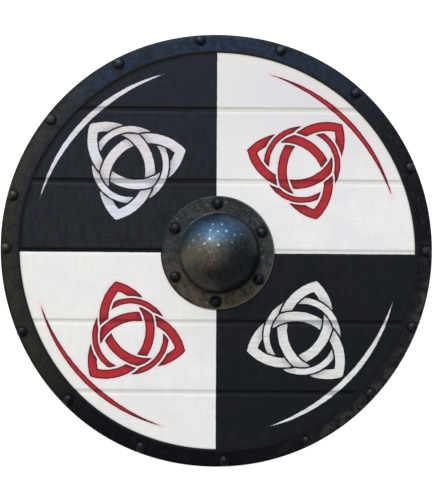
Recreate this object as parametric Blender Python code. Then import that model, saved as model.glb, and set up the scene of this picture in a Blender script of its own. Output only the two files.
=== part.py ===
"""A round wooden shield: six boards edge to edge, a folded steel rim held by domed rivets, a domed
steel boss over the hand hole, and a wooden grip across the back.

The shield lies on its back, on the grip. +Z points out of its face and +Y is its top edge. The
origin is below the middle of the rim, at the underside of the grip. Lengths are in metres."""

import math

import bmesh
import bpy
from mathutils import Matrix, Vector

# Boards, whose seams run a little askew, by an angle in degrees
SHIELD_DIAMETER = 0.610
BOARD_COUNT = 6
OUTER_BOARD_EXTRA = 0.005
BOARD_THICKNESS = 0.011
BOARD_GAP = 0.0004
GROOVE_WIDTH = 0.0060
GROOVE_DEPTH = 0.0026
SEAM_TILT = -0.4

# Rim
RIM_WIDTH = 0.025
RIM_THICKNESS = 0.0012
RIM_CORNER = 0.0030

# Boss, whose middle is a little off the middle of the shield, as its dome is off the flange's
BOSS_OFFSET_X = 0.0020
BOSS_OFFSET_Y = -0.0033
DOME_DIAMETER = 0.111
DOME_OFFSET_X = 0.0022
FLANGE_WIDTH = 0.0245
FLANGE_EDGE = 0.0006
BOSS_HEIGHT = 0.058
BOSS_THICKNESS = 0.0020
BOSS_WALL = 0.0050
BOSS_FILLET = 0.0022
HAND_HOLE_STEP = 0.0015

# Rivets
RIM_RIVET_INSET = 0.0085
RIM_RIVET_ANGLES = (
    -0.2, 23.1, 48.4, 72.0, 94.3, 117.5, 141.6, 164.8,
    179.3, 202.7, 225.2, 249.0, 272.2, 295.1, 317.2, 338.6,
)
BOSS_RIVET_ANGLES = (24.7, 90.3, 149.9, 209.7, 267.8, 326.7)
RIVET_HEAD_DIAMETER = 0.0144
RIVET_HEAD_HEIGHT = 0.0038
RIVET_SHANK_DIAMETER = 0.0050
RIVET_TAIL_DIAMETER = 0.0084
RIVET_TAIL_HEIGHT = 0.0012

# Grip
GRIP_WIDTH = 0.040
GRIP_THICKNESS = 0.016
GRIP_END_THICKNESS = 0.008
GRIP_EDGE = 0.0020
HANDLE_WIDTH = 0.030
HANDLE_SHOULDER = 0.014
HANDLE_EDGE = 0.0065

# Clearances: between faces that seat on each other, round a shank in its hole, from the grip's ends
# to the rim, from the boss to the grip's taper, and round and below a rivet's tail in the grip
SEAT_GAP = 0.0003
HOLE_GAP = 0.0003
GRIP_END_GAP = 0.045
GRIP_LEVEL_MARGIN = 0.015
TAIL_SIDE_GAP = 0.0013
TAIL_UNDER_GAP = 0.0011

# Facets
RING_STEPS = 64
BOSS_STEPS = 36
DOME_STEPS = 6
RIM_RIVET_STEPS = 10
BOSS_RIVET_STEPS = 12

# Levels, from the underside of the grip up
BOARD_BACK = GRIP_THICKNESS + SEAT_GAP
BOARD_FACE = BOARD_BACK + BOARD_THICKNESS
RIM_BACK = BOARD_BACK - SEAT_GAP - RIM_THICKNESS
RIM_FACE = BOARD_FACE + SEAT_GAP + RIM_THICKNESS
BOSS_SEAT = BOARD_FACE + SEAT_GAP
BOSS_FACE = BOSS_SEAT + BOSS_THICKNESS
COUNTERBORE_TOP = TAIL_UNDER_GAP + RIVET_TAIL_HEIGHT + SEAT_GAP

# Sizes across the shield
SHIELD_RADIUS = SHIELD_DIAMETER / 2
BOARD_RADIUS = SHIELD_RADIUS - RIM_THICKNESS - SEAT_GAP
BOARD_WIDTH = (SHIELD_DIAMETER - 2 * OUTER_BOARD_EXTRA) / BOARD_COUNT
RIM_INNER_RADIUS = SHIELD_RADIUS - RIM_WIDTH
RIM_RIVET_RADIUS = SHIELD_RADIUS - RIM_RIVET_INSET

# Sizes out from the middle of the boss
DOME_RADIUS = DOME_DIAMETER / 2
DOME_FOOT_RADIUS = DOME_RADIUS + BOSS_FILLET
FLANGE_RADIUS = DOME_RADIUS + FLANGE_WIDTH
BOSS_RIVET_RADIUS = (DOME_FOOT_RADIUS + FLANGE_RADIUS) / 2
HAND_HOLE_RADIUS = DOME_RADIUS - BOSS_THICKNESS - HAND_HOLE_STEP
HOLE_RADIUS = RIVET_SHANK_DIAMETER / 2 + HOLE_GAP
COUNTERBORE_RADIUS = RIVET_TAIL_DIAMETER / 2 + TAIL_SIDE_GAP

# Half lengths of the grip: its handle, its level middle and the whole
HANDLE_HALF = HAND_HOLE_RADIUS - HANDLE_SHOULDER
GRIP_LEVEL_HALF = FLANGE_RADIUS + GRIP_LEVEL_MARGIN
GRIP_HALF = RIM_INNER_RADIUS - GRIP_END_GAP

# Where the black and the white paint meet on the face
PAINT_LINE_X = 0.0
PAINT_LINE_Y = 0.0

WOOD = ("bare_wood", (0.42, 0.27, 0.15), 0.75, 0.0)
WHITE = ("white_paint", (0.80, 0.79, 0.77), 0.55, 0.0)
BLACK = ("black_paint", (0.016, 0.018, 0.022), 0.50, 0.0)
RIM_STEEL = ("blackened_rim_steel", (0.030, 0.032, 0.036), 0.50, 0.7)
BOSS_STEEL = ("browned_boss_steel", (0.075, 0.075, 0.075), 0.38, 0.9)
RIVET_STEEL = ("blackened_rivet_steel", (0.022, 0.024, 0.028), 0.42, 0.8)

CUT_MARGIN = 0.005


def clear_scene():
    for obj in list(bpy.data.objects):
        bpy.data.objects.remove(obj)


def material(name, colour, roughness, metallic):
    """The material of that name, made once."""
    made = bpy.data.materials.get(name)
    if made:
        return made
    made = bpy.data.materials.new(name)
    made.use_nodes = True
    shader = made.node_tree.nodes["Principled BSDF"]
    shader.inputs["Base Color"].default_value = (*colour, 1.0)
    shader.inputs["Roughness"].default_value = roughness
    shader.inputs["Metallic"].default_value = metallic
    made.diffuse_color = (*colour, 1.0)
    return made


def mesh_of(name, bm, finishes, smooth_below=None):
    """A mesh from bm with these finishes in its slots, smooth where faces meet at less than the angle."""
    bmesh.ops.recalc_face_normals(bm, faces=bm.faces)
    mesh = bpy.data.meshes.new(name)
    bm.to_mesh(mesh)
    bm.free()
    for finish in finishes:
        mesh.materials.append(material(*finish))
    if smooth_below is not None:
        mesh.shade_smooth()
        mesh.set_sharp_from_angle(angle=math.radians(smooth_below))
    return mesh


def place(name, mesh, location=(0.0, 0.0, 0.0), parent=None):
    obj = bpy.data.objects.new(name, mesh)
    obj.location = location
    obj.parent = parent
    bpy.context.scene.collection.objects.link(obj)
    return obj


def turned(profile, steps, loop=False):
    """A bmesh of a profile of (radius, height) turned about +Z. A loop is joined to its first point."""
    bm = bmesh.new()
    points = [bm.verts.new((radius, 0.0, height)) for radius, height in profile]
    edges = [bm.edges.new(pair) for pair in zip(points, points[1:])]
    if loop:
        edges.append(bm.edges.new((points[-1], points[0])))
    bmesh.ops.spin(
        bm, geom=points + edges, cent=(0, 0, 0), axis=(0, 0, 1),
        angle=math.tau, steps=steps, use_merge=True,
    )
    bmesh.ops.remove_doubles(bm, verts=bm.verts, dist=1e-6)
    return bm


def cylinder(radius, bottom, top, steps):
    return turned([(0, top), (radius, top), (radius, bottom), (0, bottom)], steps)


def joined(parts):
    """One bmesh of several, each moved to its place: pairs of a bmesh and an offset."""
    whole = bmesh.new()
    for bm, offset in parts:
        bmesh.ops.translate(bm, verts=bm.verts, vec=Vector(offset))
        part = bpy.data.meshes.new("part")
        bm.to_mesh(part)
        bm.free()
        whole.from_mesh(part)
        bpy.data.meshes.remove(part)
    return whole


def cutter(name, bm, parent=None):
    """An object that only cuts others, and isn't part of the shield."""
    obj = place(name, mesh_of(name, bm, []), parent=parent)
    obj.hide_render = True
    obj.display_type = "WIRE"
    return obj


def cut(obj, tool):
    modifier = obj.modifiers.new(tool.name, "BOOLEAN")
    modifier.operation = "DIFFERENCE"
    modifier.solver = "EXACT"
    modifier.object = tool


def polar(radius, degrees, height=0.0):
    angle = math.radians(degrees)
    return (radius * math.cos(angle), radius * math.sin(angle), height)


def corner_leg(depth):
    """How far a 45 degree corner cuts back, this deep inside the rim's outer faces."""
    return RIM_CORNER - depth * (2 - math.sqrt(2))


def rivet_holes(name, radius, angles, bottom, top, steps, parent=None):
    holes = [
        (cylinder(HOLE_RADIUS, bottom, top, steps), polar(radius, degrees))
        for degrees in angles
    ]
    return cutter(name, joined(holes), parent)


def board_blank():
    """The whole round of boards as one disc, its edges eased to sit in the fold of the rim."""
    leg = corner_leg(RIM_THICKNESS + SEAT_GAP)
    profile = [
        (0, BOARD_FACE),
        (BOARD_RADIUS - leg, BOARD_FACE),
        (BOARD_RADIUS, BOARD_FACE - leg),
        (BOARD_RADIUS, BOARD_BACK + leg),
        (BOARD_RADIUS - leg, BOARD_BACK),
        (0, BOARD_BACK),
    ]
    bm = turned(profile, RING_STEPS)
    bmesh.ops.dissolve_limit(
        bm, angle_limit=math.radians(0.5), verts=bm.verts, edges=bm.edges,
    )
    return bm


def plane_off(bm, point, normal):
    """Cuts away what lies beyond a plane, and closes the cut."""
    sliced = bmesh.ops.bisect_plane(
        bm, geom=bm.verts[:] + bm.edges[:] + bm.faces[:], dist=1e-7,
        plane_co=point, plane_no=normal, clear_outer=True,
    )
    edges = [e for e in sliced["geom_cut"] if isinstance(e, bmesh.types.BMEdge)]
    bmesh.ops.contextual_create(bm, geom=edges)


def plane_board_edge(bm, edge_y, outward):
    """Planes one long edge of a board square, then rounds its front corner over into the groove."""
    shoulder = (GROOVE_WIDTH - BOARD_GAP) / 2
    turn = 0.3
    foot = Vector((0, edge_y, BOARD_FACE - GROOVE_DEPTH))
    middle = Vector((0, edge_y - outward * turn * shoulder, BOARD_FACE - turn * GROOVE_DEPTH))
    brow = Vector((0, edge_y - outward * shoulder, BOARD_FACE))
    plane_off(bm, foot, (0, outward, 0))
    for low, high in ((foot, middle), (middle, brow)):
        along = high - low
        plane_off(bm, low, (0, outward * along.z, -outward * along.y))


def paint_face(bm):
    """Splits the face where the colours meet, and gives each quarter its paint. The rest is bare."""
    for normal in ((1, 0, 0), (0, 1, 0)):
        bmesh.ops.bisect_plane(
            bm, geom=bm.verts[:] + bm.edges[:] + bm.faces[:], dist=1e-7,
            plane_co=(PAINT_LINE_X, PAINT_LINE_Y, 0), plane_no=normal,
        )
    bm.normal_update()
    for face in bm.faces:
        middle = face.calc_center_median()
        if face.normal.z > 0.1:
            same_side = (middle.x > PAINT_LINE_X) == (middle.y > PAINT_LINE_Y)
            face.material_index = 1 if same_side else 2


def turn_flat(bm, degrees):
    bmesh.ops.rotate(bm, verts=bm.verts, matrix=Matrix.Rotation(math.radians(degrees), 3, "Z"))


def make_boards(rim_holes, boss_holes, hand_hole):
    lowest_seam = -(BOARD_COUNT / 2 - 1) * BOARD_WIDTH
    boss_reach = BOSS_RIVET_RADIUS + HOLE_RADIUS
    for index in range(BOARD_COUNT):
        bottom = lowest_seam + (index - 1) * BOARD_WIDTH + BOARD_GAP / 2
        top = lowest_seam + index * BOARD_WIDTH - BOARD_GAP / 2
        bm = board_blank()
        turn_flat(bm, -SEAM_TILT)
        if index > 0:
            plane_board_edge(bm, bottom, -1)
        if index < BOARD_COUNT - 1:
            plane_board_edge(bm, top, 1)
        turn_flat(bm, SEAM_TILT)
        paint_face(bm)
        name = f"board_{BOARD_COUNT - index}"
        board = place(name, mesh_of(name, bm, [WOOD, WHITE, BLACK]))
        cut(board, rim_holes)
        if bottom < BOSS_OFFSET_Y + boss_reach and top > BOSS_OFFSET_Y - boss_reach:
            cut(board, boss_holes)
            cut(board, hand_hole)


def make_rim(rim_holes):
    """A steel strip folded round the edge: a front leg, an outer wall and a back leg."""
    leg = corner_leg(RIM_THICKNESS)
    wall = SHIELD_RADIUS - RIM_THICKNESS
    outside = [
        (RIM_INNER_RADIUS, RIM_BACK),
        (SHIELD_RADIUS - RIM_CORNER, RIM_BACK),
        (SHIELD_RADIUS, RIM_BACK + RIM_CORNER),
        (SHIELD_RADIUS, RIM_FACE - RIM_CORNER),
        (SHIELD_RADIUS - RIM_CORNER, RIM_FACE),
        (RIM_INNER_RADIUS, RIM_FACE),
    ]
    front, back = RIM_FACE - RIM_THICKNESS, RIM_BACK + RIM_THICKNESS
    inside = [
        (RIM_INNER_RADIUS, front),
        (wall - leg, front),
        (wall, front - leg),
        (wall, back + leg),
        (wall - leg, back),
        (RIM_INNER_RADIUS, back),
    ]
    bm = turned(outside + inside, RING_STEPS, loop=True)
    rim = place("rim", mesh_of("rim", bm, [RIM_STEEL], smooth_below=50))
    cut(rim, rim_holes)


def arc(centre, radii, start, end, steps):
    """Points on an ellipse's arc, both ends included. Angles are in degrees."""
    angles = [math.radians(start + (end - start) * i / steps) for i in range(steps + 1)]
    return [
        (centre[0] + radii[0] * math.cos(a), centre[1] + radii[1] * math.sin(a))
        for a in angles
    ]


def make_boss(boss_holes, parent):
    """A dish of even thickness: a flat flange, a short wall and a dome that sits off the flange's middle."""
    bend = BOSS_THICKNESS + BOSS_FILLET
    spring = bend + BOSS_WALL
    rise = BOSS_HEIGHT - spring
    hollow_radii = (DOME_RADIUS - BOSS_THICKNESS, rise - BOSS_THICKNESS)
    profile = [
        (0, BOSS_HEIGHT - BOSS_THICKNESS),
        *arc((0, spring), hollow_radii, 90, 0, DOME_STEPS)[1:],
        *arc((DOME_FOOT_RADIUS, bend), (bend, bend), 180, 270, 2),
        (FLANGE_RADIUS, 0),
        (FLANGE_RADIUS, BOSS_THICKNESS - FLANGE_EDGE),
        (FLANGE_RADIUS - FLANGE_EDGE, BOSS_THICKNESS),
        *arc((DOME_FOOT_RADIUS, bend), (BOSS_FILLET, BOSS_FILLET), 270, 180, 2),
        *arc((0, spring), (DOME_RADIUS, rise), 0, 90, DOME_STEPS)[:-1],
        (0, BOSS_HEIGHT),
    ]
    bm = turned(profile, BOSS_STEPS)
    for vert in bm.verts:
        if vert.co.xy.length < BOSS_RIVET_RADIUS:
            vert.co.x += DOME_OFFSET_X
    mesh = mesh_of("boss", bm, [BOSS_STEEL], smooth_below=40)
    boss = place("boss", mesh, (0, 0, BOSS_SEAT), parent)
    cut(boss, boss_holes)


def rivet_mesh(name, stack, steps):
    """A rivet through a stack this thick. Its head's flat underside is at height 0."""
    head, shank = RIVET_HEAD_DIAMETER / 2, RIVET_SHANK_DIAMETER / 2
    tail = RIVET_TAIL_DIAMETER / 2
    under = -stack - 2 * SEAT_GAP
    profile = [
        (0, RIVET_HEAD_HEIGHT),
        (0.50 * head, 0.88 * RIVET_HEAD_HEIGHT),
        (0.86 * head, 0.50 * RIVET_HEAD_HEIGHT),
        (head, 0),
        (shank, 0),
        (shank, under),
        (tail, under),
        (0, under - RIVET_TAIL_HEIGHT),
    ]
    return mesh_of(name, turned(profile, steps), [RIVET_STEEL], smooth_below=50)


def make_rim_rivets():
    mesh = rivet_mesh("rim_rivet", RIM_FACE - RIM_BACK, RIM_RIVET_STEPS)
    for number, degrees in enumerate(RIM_RIVET_ANGLES, 1):
        spot = polar(RIM_RIVET_RADIUS, degrees, RIM_FACE + SEAT_GAP)
        place(f"rim_rivet_{number:02d}", mesh, spot)


def through_grip(degrees):
    """True where a boss rivet stands over the grip and holds it too."""
    return abs(polar(BOSS_RIVET_RADIUS, degrees)[0]) < GRIP_WIDTH / 2


def make_boss_rivets(parent):
    short = rivet_mesh("boss_rivet", BOSS_FACE - BOARD_BACK, BOSS_RIVET_STEPS)
    long = rivet_mesh("grip_rivet", BOSS_FACE - COUNTERBORE_TOP, BOSS_RIVET_STEPS)
    for number, degrees in enumerate(BOSS_RIVET_ANGLES, 1):
        mesh = long if through_grip(degrees) else short
        spot = polar(BOSS_RIVET_RADIUS, degrees, BOSS_FACE + SEAT_GAP)
        place(f"boss_rivet_{number}", mesh, spot, parent)


def eased(share):
    """0 to 1 with a level start and end."""
    share = min(max(share, 0.0), 1.0)
    return share * share * (3 - 2 * share)


def grip_section(y):
    """The grip's outline across its length at y: a block whose lower edges are rounder in the hand."""
    handle = 1 - eased((abs(y) - HANDLE_HALF) / HANDLE_SHOULDER)
    half = (GRIP_WIDTH + (HANDLE_WIDTH - GRIP_WIDTH) * handle) / 2
    edge = GRIP_EDGE + (HANDLE_EDGE - GRIP_EDGE) * handle
    taper = max((abs(y) - GRIP_LEVEL_HALF) / (GRIP_HALF - GRIP_LEVEL_HALF), 0.0)
    under = (GRIP_THICKNESS - GRIP_END_THICKNESS) * taper
    bend = edge * (1 - math.sqrt(0.5))
    right = [
        (half - edge, under),
        (half - bend, under + bend),
        (half, under + edge),
        (half, GRIP_THICKNESS - GRIP_EDGE),
        (half - GRIP_EDGE, GRIP_THICKNESS),
    ]
    left = [(-x, z) for x, z in reversed(right)]
    return right + left


def make_grip(boss_holes, counterbores, parent):
    """A batten across all the boards, waisted to a handle over the hand hole, thinner at its ends."""
    shoulder = [HANDLE_HALF + HANDLE_SHOULDER * i / 3 for i in range(4)]
    half = [*shoulder, GRIP_LEVEL_HALF, GRIP_HALF]
    stations = [-y for y in reversed(half)] + half
    bm = bmesh.new()
    rings = [[bm.verts.new((x, y, z)) for x, z in grip_section(y)] for y in stations]
    for near, far in zip(rings, rings[1:]):
        for i in range(len(near)):
            j = (i + 1) % len(near)
            bm.faces.new((near[i], near[j], far[j], far[i]))
    bm.faces.new(rings[0])
    bm.faces.new(rings[-1])
    grip = place("grip", mesh_of("grip", bm, [WOOD], smooth_below=30), parent=parent)
    cut(grip, boss_holes)
    cut(grip, counterbores)


def main():
    clear_scene()
    boss_centre = place("boss_centre", None, (BOSS_OFFSET_X, BOSS_OFFSET_Y, 0))
    above, below = max(RIM_FACE, BOSS_FACE) + CUT_MARGIN, -CUT_MARGIN
    rim_holes = rivet_holes(
        "rim_rivet_holes", RIM_RIVET_RADIUS, RIM_RIVET_ANGLES, below, above, RIM_RIVET_STEPS,
    )
    boss_holes = rivet_holes(
        "boss_rivet_holes", BOSS_RIVET_RADIUS, BOSS_RIVET_ANGLES, below, above,
        BOSS_RIVET_STEPS, boss_centre,
    )
    hand_hole = cutter(
        "hand_hole", cylinder(HAND_HOLE_RADIUS, below, above, BOSS_STEPS), boss_centre,
    )
    seats = [
        (
            cylinder(COUNTERBORE_RADIUS, below, COUNTERBORE_TOP, BOSS_RIVET_STEPS),
            polar(BOSS_RIVET_RADIUS, degrees),
        )
        for degrees in BOSS_RIVET_ANGLES
        if through_grip(degrees)
    ]
    counterbores = cutter("counterbores", joined(seats), boss_centre)
    make_boards(rim_holes, boss_holes, hand_hole)
    make_rim(rim_holes)
    make_rim_rivets()
    make_boss(boss_holes, boss_centre)
    make_boss_rivets(boss_centre)
    make_grip(boss_holes, counterbores, boss_centre)


main()
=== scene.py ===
"""The looks of a round wooden shield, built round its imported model.

The shield lies face up: +Z points out of its face and +Y is its top edge. Lengths are worked out in
millimetres and made metres as each mesh is built; the lamp and the camera are in metres."""

import math
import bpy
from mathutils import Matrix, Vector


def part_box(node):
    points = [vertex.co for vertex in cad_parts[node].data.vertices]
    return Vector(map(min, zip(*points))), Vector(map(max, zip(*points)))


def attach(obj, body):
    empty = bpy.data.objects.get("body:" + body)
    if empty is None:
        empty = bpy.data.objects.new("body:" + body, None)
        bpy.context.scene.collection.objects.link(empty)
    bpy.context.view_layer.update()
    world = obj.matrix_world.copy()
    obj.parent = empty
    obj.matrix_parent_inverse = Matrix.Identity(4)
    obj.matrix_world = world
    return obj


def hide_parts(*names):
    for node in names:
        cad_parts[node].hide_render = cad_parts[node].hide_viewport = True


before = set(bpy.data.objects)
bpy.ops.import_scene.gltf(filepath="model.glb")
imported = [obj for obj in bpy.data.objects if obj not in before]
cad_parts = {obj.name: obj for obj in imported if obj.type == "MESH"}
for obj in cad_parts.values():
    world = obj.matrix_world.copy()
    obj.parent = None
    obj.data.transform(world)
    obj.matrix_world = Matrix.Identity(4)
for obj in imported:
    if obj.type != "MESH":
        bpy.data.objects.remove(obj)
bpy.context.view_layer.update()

from types import SimpleNamespace

import bpy
import numpy as np
from mathutils import Vector, kdtree

MM = 1000.0


def box_mm(node):
    """A CAD node's lowest and highest corners, in millimetres."""
    low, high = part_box(node)
    return np.array(low) * MM, np.array(high) * MM


BOARDS = [f"board_{number}" for number in range(1, 7)]
RIVETS = sorted(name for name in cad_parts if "rivet" in name)
RIM_LOW, RIM_HIGH = box_mm("rim")
BOSS_LOW, BOSS_HIGH = box_mm("boss")
GRIP_LOW, GRIP_HIGH = box_mm("grip")

# Sizes that the model's source has and a box doesn't tell
SEAM_TILT = -0.4
GROOVE_WIDTH = 6.0
RIM_WIDTH = 25.0
RIM_THICKNESS = 1.2
RIM_CORNER = 3.0
DOME_RADIUS = 55.5
DOME_OFFSET_X = 2.2
BOSS_THICKNESS = 2.0
BOSS_WALL = 5.0
BOSS_FILLET = 2.2
HAND_HOLE_STEP = 1.5
HANDLE_WIDTH = 30.0
HANDLE_SHOULDER = 14.0
HANDLE_EDGE = 6.5
GRIP_EDGE = 2.0
GRIP_END_THICKNESS = 8.0
GRIP_LEVEL_MARGIN = 15.0
RIVET_SHANK_RADIUS = 2.5
RIVET_TAIL_RADIUS = 4.2
RIVET_TAIL_HEIGHT = 1.2
RIVET_HEAD_HEIGHT = 3.8
SEAT_GAP = 0.3

# The rim's edges wander in slow waves: how many go round, their height, and a crest's angle in degrees.
# The inner edge also lies a little to the lower right.
OUTER_WAVES = ((2, 0.45, 85.0), (3, 0.45, 25.0), (4, 0.45, -42.0), (6, 0.3, -5.0))
OUTER_INSET = 0.2
INNER_WAVES = ((2, 0.4, -85.0), (3, 0.25, 10.0), (4, 0.35, -20.0), (5, 0.25, 20.0), (6, 0.4, -15.0))
INNER_INSET = 0.35
INNER_DRIFT = (1.4, -0.8)
INNER_RAGGED = 0.45
# The rim's dents: their depth, size and seed. Its faces lie lower to leave room for them.
RIM_DENTS = ((0.10, 34.0, 3), (0.06, 13.0, 4))
RIM_SINK = 0.16

# What follows from those sizes
SHIELD_RADIUS = RIM_HIGH[0]
RIM_INNER = SHIELD_RADIUS - RIM_WIDTH
BOARD_BACK, BOARD_FACE = (corner[2] for corner in box_mm("board_3"))
BOARD_RADIUS = SHIELD_RADIUS - RIM_THICKNESS - SEAT_GAP - sum(size for _, size, _ in OUTER_WAVES)
SEAMS = [(box_mm(up)[0][1] + box_mm(down)[1][1]) / 2 for up, down in zip(BOARDS, BOARDS[1:])]
BOSS_CENTRE = (BOSS_LOW + BOSS_HIGH) / 2
FLANGE_RADIUS = (BOSS_HIGH[0] - BOSS_LOW[0]) / 2
BOSS_BEND = BOSS_THICKNESS + BOSS_FILLET
DOME_FOOT = DOME_RADIUS + BOSS_FILLET
DOME_START = BOSS_BEND + BOSS_WALL
DOME_RISE = BOSS_HIGH[2] - BOSS_LOW[2] - DOME_START
HAND_HOLE_RADIUS = DOME_RADIUS - BOSS_THICKNESS - HAND_HOLE_STEP

# Boards, with grooves filled with paint. For each, from the top: how far it lies below its joint, and how
# far below that its lower side starts and ends.
PAINTED_DEPTH = 0.8
PAINTED_GROOVES = ((0.3, 3.2, 7.0), (1.5, 3.4, 7.2), (0.0, 2.5, 7.0), (-0.1, 2.7, 6.2), (-1.1, 2.7, 6.2))
PAINTED_GAP = 0.1
FACE_SWELL = 0.10
FACE_SINK = 0.12
JOINT_LEAN = 0.25
BACK_EDGE = 0.8

# Paint: the quarters' edges, and the knot and the crescent in each quarter. Distances are kept up to FAR.
QUARTER_X = 0.35
QUARTER_LEAN = 0.0045
QUARTER_LEFT = -3.5
QUARTER_RIGHT = -3.7
TAPE_LINE_X = 9.0
KNOT_DISTANCE = 171.0
KNOT_CIRCLE = 63.0
KNOT_BAND = 13.2
KNOT_RING = 50.0
KNOT_RING_BAND = 8.2
KNOT_GAP = 2.5
KNOT_LACING = 20.0
RING_LACING = 27.0
SHADE_FADE = 8.0
CRESCENT_RADIUS = 259.0
CRESCENT_WIDTH = 7.6
CRESCENT_REACH = 29.0
CRESCENT_TAPER = 400.0
FAR = 20.0

# Steel: the middle of the painted warm highlight on the dome, and how far from a rivet's middle its grime
# and painted shade end and are full
WARM_SPOT = (-8.0, -9.0, 84.0)
RIVET_GRIME_AND_SHADE = (10.5, 7.0)

# Hammer work: flats on a rivet's head and how far they lean in radians, rows of the boss's section left
# plain by its edge, and how deep the boss's dents are
RIVET_FLATS = 7
FLAT_LEAN = 0.8
PLAIN_ROWS = 4
DENT_DEPTH = 0.15

# How fine the meshes are
FACE_STEP = 1.3
RIM_STEPS = 640
BOSS_STEPS = 320
RIVET_STEPS = 30
HOLE_STEPS = 96
GRIP_STATIONS = 180

# Stage: the studio's soft walls as direction, start, full and colour, and the camera's place in metres,
# the height of its frame at the face, and its lens and sensor
FLOOR_REACH = 9000.0
WALLS = (
    ((0.0, 0.75, 0.66), 0.5, 1.0, (0.95, 1.25, 1.65)),
    ((-0.85, 0.1, 0.52), 0.5, 1.0, (0.50, 0.43, 0.33)),
    ((0.0, 0.0, 1.0), 0.4, 1.0, (0.26, 0.26, 0.26)),
)
FAINT_LIGHT = (0.07, 0.07, 0.07)
BACKDROP = (0.96, 0.96, 0.96, 1.0)
CAMERA_PLACE = (0.00117, 0.0006)
FRAME_HEIGHT = 0.7038
LENS = 85.0
SENSOR = 36.0


def srgb(red, green, blue):
    """A colour given in 0 to 255, as the linear values that shaders take."""
    def linear(value):
        share = value / 255
        return share / 12.92 if share <= 0.04045 else ((share + 0.055) / 1.055) ** 2.4
    return (linear(red), linear(green), linear(blue), 1.0)


def add_node(tree, kind, **settings):
    made = tree.nodes.new(kind)
    for key, value in settings.items():
        setattr(made, key, value)
    return made


class Finish:
    """A material's node tree. Sizes of patterns are in millimetres; values are sockets or numbers."""

    def __init__(self, name, **constants):
        self.material = bpy.data.materials.new(name)
        self.material.use_nodes = True
        self.tree = self.material.node_tree
        self.shader = self.tree.nodes["Principled BSDF"]
        for socket, value in constants.items():
            self.shader.inputs[socket.replace("_", " ")].default_value = value
        place = self.node("ShaderNodeTexCoord").outputs["Object"]
        self.place = self.vector("SCALE", place, scale=MM)

    def node(self, kind, **settings):
        return add_node(self.tree, kind, **settings)

    def put(self, socket, value):
        if isinstance(value, bpy.types.NodeSocket):
            self.tree.links.new(value, socket)
        elif value is not None:
            socket.default_value = value

    def math(self, operation, a, b=None):
        made = self.node("ShaderNodeMath", operation=operation)
        self.put(made.inputs[0], a)
        self.put(made.inputs[1], b)
        return made.outputs[0]

    def times(self, a, b):
        return self.math("MULTIPLY", a, b)

    def vector(self, operation, a, b=None, scale=None):
        made = self.node("ShaderNodeVectorMath", operation=operation)
        self.put(made.inputs[0], a)
        self.put(made.inputs[1], b)
        if scale is not None:
            self.put(made.inputs["Scale"], scale)
        return made.outputs["Value" if operation == "DOT_PRODUCT" else "Vector"]

    def ramp(self, value, low, high, to_low=0.0, to_high=1.0):
        """Eases from to_low to to_high as the value goes from low to high."""
        made = self.node("ShaderNodeMapRange", interpolation_type="SMOOTHSTEP")
        for socket, item in zip(made.inputs, (value, low, high, to_low, to_high)):
            self.put(socket, item)
        return made.outputs["Result"]

    def mix(self, share, a, b):
        """Colour a where the share is 0, and b where it is 1. Plain colours are in 0 to 255."""
        made = self.node("ShaderNodeMix", data_type="RGBA")
        self.put(made.inputs["Factor"], share)
        for socket, colour in zip(made.inputs[6:8], (a, b)):
            self.put(socket, srgb(*colour) if isinstance(colour, tuple) else colour)
        return made.outputs[2]

    def coats(self, colour, *coats):
        """Lays coats over a colour in turn, each a share and a colour."""
        for share, coat in coats:
            colour = self.mix(share, colour, coat)
        return colour

    def noise(self, size, detail=2.0, rough=0.5, shift=0.0, at=None):
        """0 to 1. The size is one length, or one for each of X, Y and Z."""
        sizes = size if isinstance(size, tuple) else (size,) * 3
        scaled = self.vector("DIVIDE", at or self.place, sizes)
        made = self.node("ShaderNodeTexNoise", noise_dimensions="4D")
        inputs = {"Vector": scaled, "W": shift, "Scale": 1.0, "Detail": detail, "Roughness": rough}
        for socket, value in inputs.items():
            self.put(made.inputs[socket], value)
        return made.outputs["Fac"]

    def attribute(self, name):
        return self.node("ShaderNodeAttribute", attribute_name=name).outputs["Fac"]

    def axis(self, name):
        made = self.node("ShaderNodeSeparateXYZ")
        self.put(made.inputs[0], self.place)
        return made.outputs[name]

    def toward(self, x, y, near, far, noise=None, ragged=0.0):
        """0 to 1 along a direction on the face, between two distances. Noise makes it ragged."""
        along = self.vector("DOT_PRODUCT", self.place, (x, y, 0.0))
        if noise is not None:
            along = self.math("ADD", along, self.times(self.math("SUBTRACT", noise, 0.5), ragged))
        return self.ramp(along, near, far)

    def bump(self, height, depth):
        """A normal from a height of 0 to 1 that stands for this depth in millimetres."""
        made = self.node("ShaderNodeBump")
        self.put(made.inputs["Height"], height)
        self.put(made.inputs["Distance"], depth / MM)
        return made.outputs["Normal"]

    def wear(self, colour=None, roughness=None, metallic=None, normal=None):
        """Sets what varies over the surface, and gives the material."""
        sockets = ("Base Color", "Roughness", "Metallic", "Normal")
        for socket, value in zip(sockets, (colour, roughness, metallic, normal)):
            self.put(self.shader.inputs[socket], value)
        return self.material


# Paint and wood


def paint_cues(f):
    """What the paints go by: the design's distances, marks of brush and grain, and the place."""
    wobble = f.math("SUBTRACT", f.noise(6.0), 0.5)
    return SimpleNamespace(
        ink=f.math("ADD", f.attribute("ink"), f.times(wobble, 1.4)),
        ground=f.math("ADD", f.attribute("ground"), f.times(wobble, 1.0)),
        shade=f.ramp(f.attribute("cast"), 13.0, 1.0),
        edge=f.attribute("edge"),
        tape=f.math("ABSOLUTE", f.attribute("tape")),
        groove=f.ramp(f.attribute("groove"), 4.9, 2.7),
        grain=f.noise((40.0, 2.6, 5.0), 2.0, 0.5, f.attribute("board")),
        brush=f.noise((70.0, 4.0, 9.0), 4.0, 0.62, 4.0),
        cross=f.noise((8.0, 30.0, 9.0), 3.0, 0.6, 7.0),
        mottle=f.noise(46.0, 4.0, 0.6, 2.0),
        fine=f.noise(3.2, 3.0, 0.7, 5.0),
        upward=f.toward(-0.05, 1.0, 40.0, 240.0),
        leftward=f.toward(-0.9, 0.3, -80.0, 160.0),
    )


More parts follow.
